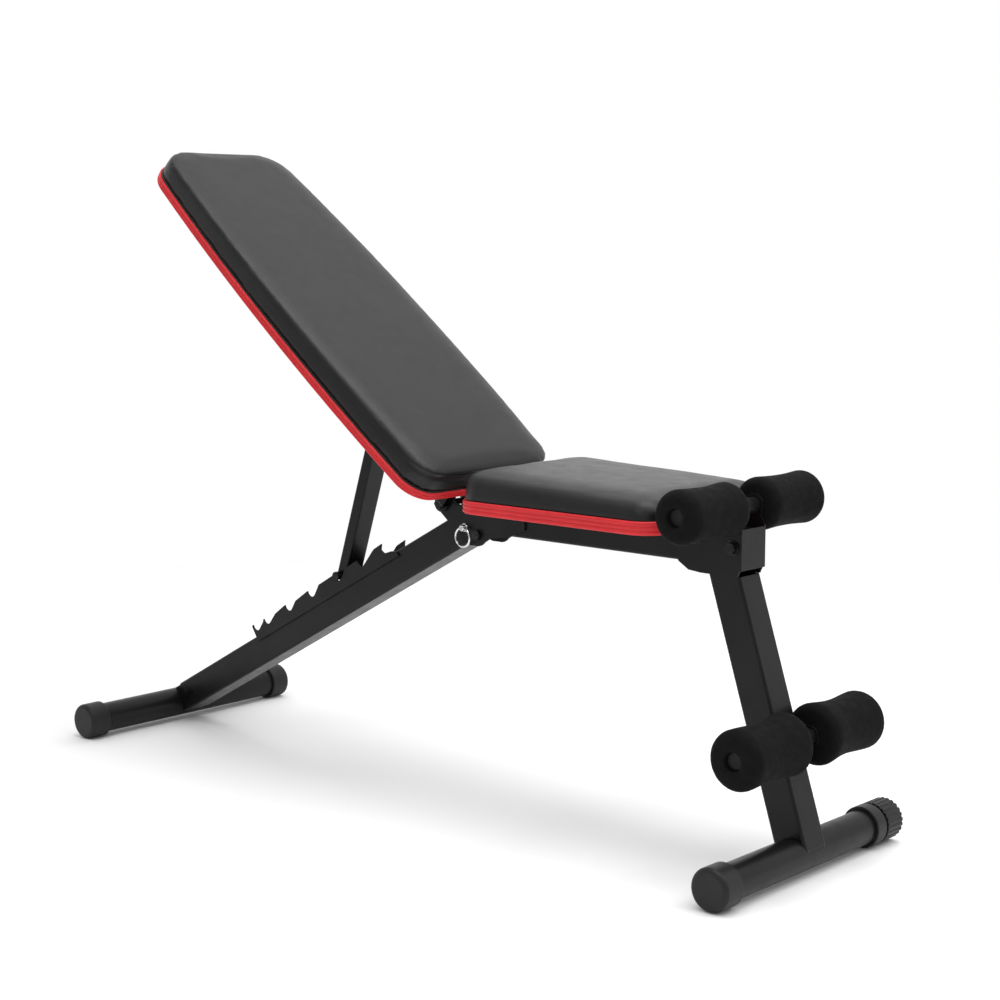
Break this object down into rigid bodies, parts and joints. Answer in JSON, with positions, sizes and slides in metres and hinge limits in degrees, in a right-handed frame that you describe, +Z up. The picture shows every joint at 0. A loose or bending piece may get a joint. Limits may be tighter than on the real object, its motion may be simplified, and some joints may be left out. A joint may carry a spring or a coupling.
{
  "type": "sit-up bench",
  "caption": "Folding sit-up bench with an adjustable padded backrest on a notched rack, a padded seat, and upper and lower foam leg rollers.",
  "frame": {"origin": "on the floor, midway along the bench's overall length and on its centre plane", "axes": "+X towards the leg-roller end, +Y to the side with the levelling knob, +Z up"},
  "size_m": [1.3885, 0.45, 1.0028],
  "materials": {
    "frame_paint": "satin black powder coat",
    "hardware": "black zinc",
    "pin_chrome": "polished",
    "cap_plastic": "fine-grained moulded black",
    "roller_tube": "satin black",
    "roller_foam": "closed-cell foam, matt",
    "vinyl": "grained black vinyl",
    "edge_trim": "ribbed red edging",
    "board": "black-faced plywood"
  },
  "bodies": {
    "frame": {"front_foot_bar": "frame_paint", "front_foot_cap": "cap_plastic", "leveler_collar": "cap_plastic", "front_post": "frame_paint", "seat_beam": "frame_paint", "front_bracket": "frame_paint", "bracket_bolt_1": "hardware", "bracket_bolt_2": "hardware", "roller_saddle": "frame_paint", "upper_roller_tube": "roller_tube", "upper_roller_plugs": "cap_plastic", "lower_roller_tube": "roller_tube", "lower_roller_plugs": "cap_plastic", "hinge_plates": "frame_paint", "back_hinge_bolt": "hardware", "leg_pivot_bolt": "hardware", "seat_board": "board", "seat_cushion": "vinyl", "seat_trim": "edge_trim", "seat_bolts": "hardware"},
    "backrest": {"back_board": "board", "back_cushion": "vinyl", "back_trim": "edge_trim", "back_rail_near": "frame_paint", "back_rail_far": "frame_paint", "hinge_ears": "frame_paint", "back_screws": "hardware", "strut_pivot_bolt": "hardware", "strut_spacers": "frame_paint"},
    "strut": {"strut": "frame_paint", "strut_rod": "hardware"},
    "rear_leg": {"rear_leg": "frame_paint", "leg_pivot_sleeve": "frame_paint", "rack_near": "frame_paint", "rack_far": "frame_paint", "rear_foot_bar": "frame_paint", "rear_foot_cap_near": "cap_plastic", "rear_foot_cap_far": "cap_plastic", "rear_foot_stub": "frame_paint", "rear_foot_bolt": "hardware"},
    "lock_pin": {"lock_pin": "pin_chrome"},
    "pull_ring": {"pull_ring": "pin_chrome"},
    "upper_roller_near": {"upper_roller_near": "roller_foam"},
    "upper_roller_far": {"upper_roller_far": "roller_foam"},
    "lower_roller_near": {"lower_roller_near": "roller_foam"},
    "lower_roller_far": {"lower_roller_far": "roller_foam"},
    "leveler_knob": {"leveler_knob": "cap_plastic"}
  },
  "joints": [
    {"name": "back_recline", "type": "hinge", "parent": "frame", "child": "backrest", "pos_m": [0.01, 0, 0.454], "axis": [0, 1, 0], "range_deg": [0, 15]},
    {"name": "strut_swing", "type": "hinge", "parent": "backrest", "child": "strut", "pos_m": [-0.138, 0, 0.6], "axis": [0, 1, 0], "range_deg": [-12, 0]},
    {"name": "rear_leg_fold", "type": "hinge", "parent": "frame", "child": "rear_leg", "pos_m": [0.083, 0, 0.412], "axis": [0, -1, 0], "range_deg": [0, 110]},
    {"name": "pin_pull", "type": "slide", "parent": "frame", "child": "lock_pin", "axis": [0, -1, 0], "range_m": [0, 0.048]},
    {"name": "ring_swing", "type": "hinge", "parent": "lock_pin", "child": "pull_ring", "pos_m": [0.058, -0.035, 0.421], "axis": [-1, 0, 0], "range_deg": [0, 90]},
    {"name": "upper_near_spin", "type": "hinge", "parent": "frame", "child": "upper_roller_near", "pos_m": [0.551, 0, 0.496], "axis": [0, 1, 0], "continuous": true},
    {"name": "upper_far_spin", "type": "hinge", "parent": "frame", "child": "upper_roller_far", "pos_m": [0.551, 0, 0.496], "axis": [0, 1, 0], "continuous": true},
    {"name": "lower_near_spin", "type": "hinge", "parent": "frame", "child": "lower_roller_near", "pos_m": [0.6514, 0, 0.1866], "axis": [0, 1, 0], "continuous": true},
    {"name": "lower_far_spin", "type": "hinge", "parent": "frame", "child": "lower_roller_far", "pos_m": [0.6514, 0, 0.1866], "axis": [0, 1, 0], "continuous": true},
    {"name": "leveler_turn", "type": "hinge", "parent": "frame", "child": "leveler_knob", "pos_m": [0.658, 0, 0.03], "axis": [0, 1, 0], "continuous": true}
  ],
  "couplings": [
    {"joint": "strut_swing", "follows": "back_recline", "ratio": -0.7},
    {"joint": "pin_pull", "follows": "rear_leg_fold", "m_per_rad": 0.0235}
  ]
}
